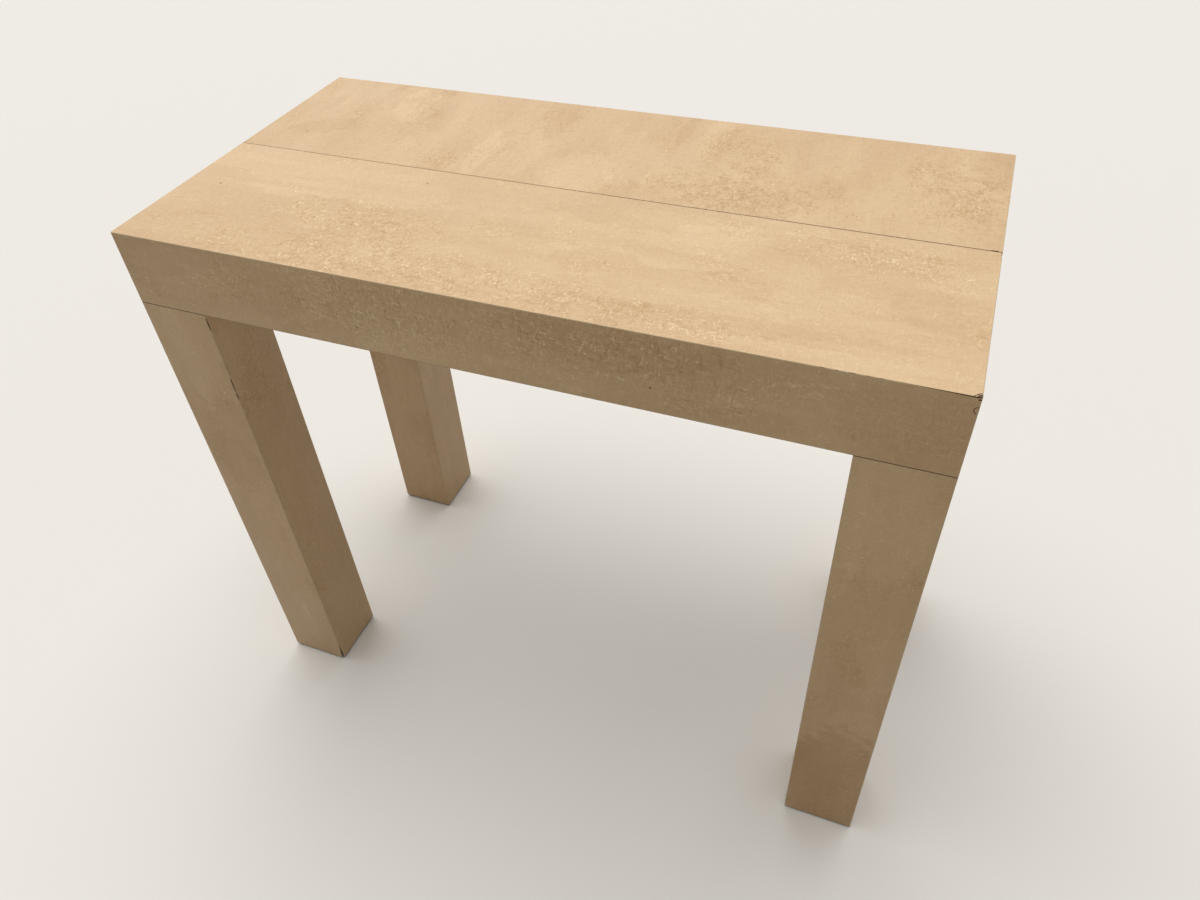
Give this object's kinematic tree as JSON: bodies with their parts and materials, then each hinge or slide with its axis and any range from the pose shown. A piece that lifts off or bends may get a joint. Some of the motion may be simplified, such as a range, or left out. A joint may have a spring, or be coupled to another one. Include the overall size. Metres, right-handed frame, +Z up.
{
  "type": "extending console table",
  "caption": "Console table with a thick boxed top and square box legs; the top parts along a seam and its front half slides out on telescopic rails to make a long dining table.",
  "frame": {"origin": "on the floor under the middle of the closed table", "axes": "+X along the width, to the right of someone facing the front; +Y from the front to the wall side; +Z up"},
  "size_m": [0.9, 0.45, 0.76],
  "materials": {
    "concrete_decor_board": "melamine foil, concrete effect, satin",
    "raw_chipboard": "raw chipboard",
    "mill_aluminium": "extruded, mill finish",
    "zinc_plated_steel": "zinc plated",
    "white_nylon": "moulded nylon",
    "black_nylon": "moulded nylon",
    "beech": "turned beech"
  },
  "bodies": {
    "rear_half": {"rear_top_panel": "concrete_decor_board", "rear_apron": "concrete_decor_board", "rear_left_end_apron": "concrete_decor_board", "rear_right_end_apron": "concrete_decor_board", "rear_left_leg": "concrete_decor_board", "rear_right_leg": "concrete_decor_board", "rear_leg_plugs": "raw_chipboard", "rear_corner_plates": "raw_chipboard", "rear_leg_bolts": "zinc_plated_steel", "rear_leg_inserts": "zinc_plated_steel", "rear_foot_glides": "black_nylon", "rear_screws": "zinc_plated_steel", "rear_left_rail": "mill_aluminium", "rear_right_rail": "mill_aluminium", "rear_rail_stops": "white_nylon", "dowel_sockets": "white_nylon", "latch_keepers": "zinc_plated_steel"},
    "front_half": {"front_top_panel": "concrete_decor_board", "front_apron": "concrete_decor_board", "front_left_end_apron": "concrete_decor_board", "front_right_end_apron": "concrete_decor_board", "front_left_leg": "concrete_decor_board", "front_right_leg": "concrete_decor_board", "front_leg_plugs": "raw_chipboard", "front_corner_plates": "raw_chipboard", "front_leg_bolts": "zinc_plated_steel", "front_leg_inserts": "zinc_plated_steel", "front_foot_glides": "black_nylon", "front_screws": "zinc_plated_steel", "front_left_rail": "mill_aluminium", "front_right_rail": "mill_aluminium", "front_rail_stops": "white_nylon", "seam_dowels": "beech", "latch_bases": "zinc_plated_steel", "latch_pivots": "zinc_plated_steel"},
    "slide_stage_1": {"slide_stage_1_left_rail": "mill_aluminium", "slide_stage_1_right_rail": "mill_aluminium", "slide_stage_1_rail_stops": "white_nylon"},
    "slide_stage_2": {"slide_stage_2_left_rail": "mill_aluminium", "slide_stage_2_right_rail": "mill_aluminium", "slide_stage_2_rail_stops": "white_nylon"},
    "slide_stage_3": {"slide_stage_3_left_rail": "mill_aluminium", "slide_stage_3_right_rail": "mill_aluminium", "slide_stage_3_rail_stops": "white_nylon"},
    "slide_stage_4": {"slide_stage_4_left_rail": "mill_aluminium", "slide_stage_4_right_rail": "mill_aluminium", "slide_stage_4_rail_stops": "white_nylon"},
    "slide_stage_5": {"slide_stage_5_left_rail": "mill_aluminium", "slide_stage_5_right_rail": "mill_aluminium", "slide_stage_5_rail_stops": "white_nylon"},
    "slide_stage_6": {"slide_stage_6_left_rail": "mill_aluminium", "slide_stage_6_right_rail": "mill_aluminium", "slide_stage_6_rail_stops": "white_nylon"},
    "slide_stage_7": {"slide_stage_7_left_rail": "mill_aluminium", "slide_stage_7_right_rail": "mill_aluminium", "slide_stage_7_rail_stops": "white_nylon"},
    "left_latch": {"left_latch_lever": "zinc_plated_steel"},
    "right_latch": {"right_latch_lever": "zinc_plated_steel"}
  },
  "joints": [
    {"name": "front_slide", "type": "slide", "parent": "rear_half", "child": "front_half", "axis": [0, -1, 0], "range_m": [0, 2.5]},
    {"name": "slide_stage_1_slide", "type": "slide", "parent": "rear_half", "child": "slide_stage_1", "axis": [0, -1, 0], "range_m": [0, 0.3125]},
    {"name": "slide_stage_2_slide", "type": "slide", "parent": "rear_half", "child": "slide_stage_2", "axis": [0, -1, 0], "range_m": [0, 0.625]},
    {"name": "slide_stage_3_slide", "type": "slide", "parent": "rear_half", "child": "slide_stage_3", "axis": [0, -1, 0], "range_m": [0, 0.9375]},
    {"name": "slide_stage_4_slide", "type": "slide", "parent": "rear_half", "child": "slide_stage_4", "axis": [0, -1, 0], "range_m": [0, 1.25]},
    {"name": "slide_stage_5_slide", "type": "slide", "parent": "rear_half", "child": "slide_stage_5", "axis": [0, -1, 0], "range_m": [0, 1.5625]},
    {"name": "slide_stage_6_slide", "type": "slide", "parent": "rear_half", "child": "slide_stage_6", "axis": [0, -1, 0], "range_m": [0, 1.875]},
    {"name": "slide_stage_7_slide", "type": "slide", "parent": "rear_half", "child": "slide_stage_7", "axis": [0, -1, 0], "range_m": [0, 2.1875]},
    {"name": "left_latch_turn", "type": "hinge", "parent": "front_half", "child": "left_latch", "pos_m": [-0.09, -0.017, 0.7382], "axis": [0, 0, 1], "range_deg": [0, 90]},
    {"name": "right_latch_turn", "type": "hinge", "parent": "front_half", "child": "right_latch", "pos_m": [0.09, -0.017, 0.7382], "axis": [0, 0, -1], "range_deg": [0, 90]}
  ],
  "couplings": [
    {"joint": "slide_stage_1_slide", "follows": "front_slide", "ratio": 0.125},
    {"joint": "slide_stage_2_slide", "follows": "front_slide", "ratio": 0.25},
    {"joint": "slide_stage_3_slide", "follows": "front_slide", "ratio": 0.375},
    {"joint": "slide_stage_4_slide", "follows": "front_slide", "ratio": 0.5},
    {"joint": "slide_stage_5_slide", "follows": "front_slide", "ratio": 0.625},
    {"joint": "slide_stage_6_slide", "follows": "front_slide", "ratio": 0.75},
    {"joint": "slide_stage_7_slide", "follows": "front_slide", "ratio": 0.875}
  ]
}
